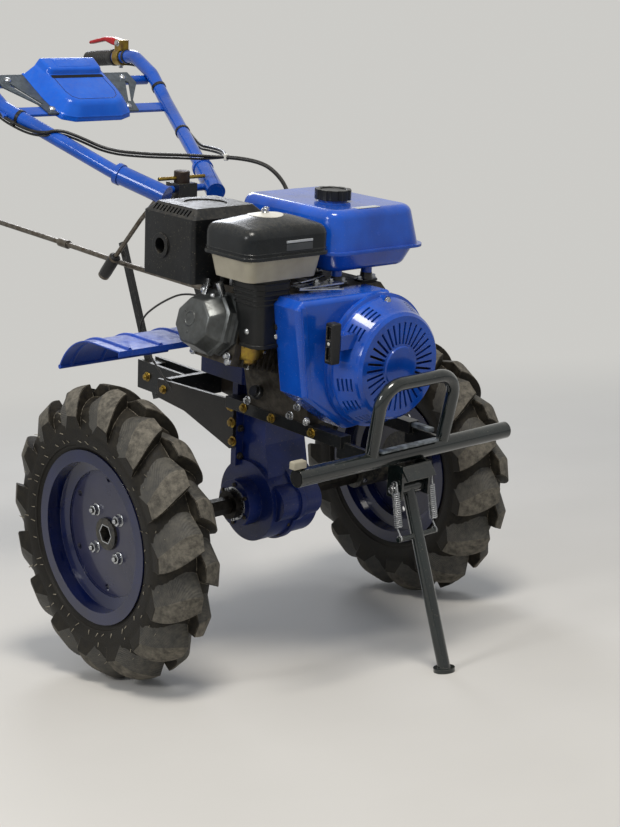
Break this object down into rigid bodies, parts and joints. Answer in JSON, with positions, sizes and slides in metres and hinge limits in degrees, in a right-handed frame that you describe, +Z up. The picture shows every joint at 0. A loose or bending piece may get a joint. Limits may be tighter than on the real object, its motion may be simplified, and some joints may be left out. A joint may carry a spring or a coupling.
{
  "type": "walk-behind power tiller",
  "caption": "Walk-behind power tiller with a petrol engine over a gear case, two lugged traction wheels, a handlebar with console, and a folding front stand.",
  "frame": {"origin": "on the floor, below the middle of the machine's length and width", "axes": "+Z up, -Y forward (the bumper), +X to the machine's left"},
  "size_m": [0.938, 1.4994, 1.3243],
  "materials": {
    "bowl_zinc": "yellow zinc plated",
    "bumper_black": "gloss dark green-black",
    "cable_black": "smooth",
    "cap_black": "moulded",
    "case_blue": "satin enamel on casting",
    "console_blue": "moulded",
    "duct_black": "moulded",
    "engine_blue": "gloss enamel",
    "engine_casting": "die-cast",
    "filter_band": "moulded",
    "filter_black": "moulded",
    "frame_black": "gloss black",
    "grip_rubber": "ribbed",
    "handle_blue": "gloss enamel",
    "heat_black": "satin heat-proof black",
    "hub_steel": "satin",
    "lever_red": "dipped",
    "perch_zinc": "yellow zinc plated",
    "plate_grey": "satin",
    "rim_blue": "gloss enamel",
    "rocker_grey": "grey metallic paint",
    "rod_steel": "bare",
    "shaft_steel": "oiled",
    "spring_zinc": "zinc plated",
    "tyre_rubber": "matte, ribbed"
  },
  "bodies": {
    "chassis": {"air_filter_band": "filter_band", "air_filter_cover": "filter_black", "carburettor": "bowl_zinc", "clutch_housing": "engine_casting", "drag_post": "frame_black", "engine_block": "engine_casting", "engine_cable": "cable_black", "fan_shroud": "engine_blue", "fender_left": "engine_blue", "fender_right": "engine_blue", "frame_rail_left": "frame_black", "frame_rail_right": "frame_black", "front_bumper": "bumper_black", "fuel_cap": "cap_black", "fuel_tank": "engine_blue", "gear_cable": "cable_black", "gearbox_case": "case_blue", "gusset_left": "frame_black", "gusset_right": "frame_black", "handle_column": "frame_black", "intake_duct": "duct_black", "muffler": "heat_black", "rear_hitch": "frame_black", "recoil_cover": "engine_blue", "recoil_handle": "cap_black", "rocker_cover": "rocker_grey", "shift_rod": "rod_steel", "throttle_plate": "rod_steel"},
    "wheels": {"hub_left": "hub_steel", "hub_right": "hub_steel", "rim_left": "rim_blue", "rim_right": "rim_blue", "tyre_left": "tyre_rubber", "tyre_right": "tyre_rubber", "axle_shaft": "shaft_steel"},
    "handlebar": {"control_lever_left": "lever_red", "control_lever_right": "lever_red", "grip_left": "grip_rubber", "grip_right": "grip_rubber", "handle_tube_left": "handle_blue", "handle_tube_right": "handle_blue", "lever_perch_left": "perch_zinc", "lever_perch_right": "perch_zinc", "handle_fork": "handle_blue", "handle_crossbar": "handle_blue", "console_plate": "plate_grey", "console_cover": "console_blue", "clamp_lever": "rod_steel", "loom_left": "cable_black", "loom_right": "cable_black"},
    "stand": {"stand_leg": "bumper_black", "stand_springs": "spring_zinc"}
  },
  "joints": [
    {"name": "axle_turn", "type": "hinge", "parent": "chassis", "child": "wheels", "pos_m": [0, -0.24055, 0.295], "axis": [1, 0, 0], "continuous": true},
    {"name": "handlebar_height", "type": "hinge", "parent": "chassis", "child": "handlebar", "pos_m": [0, -0.02421, 0.94545], "axis": [1, 0, 0], "range_deg": [-12, 14]},
    {"name": "stand_fold", "type": "hinge", "parent": "chassis", "child": "stand", "pos_m": [0, -0.66133, 0.35484], "axis": [1, 0, 0], "range_deg": [0, 70]}
  ]
}
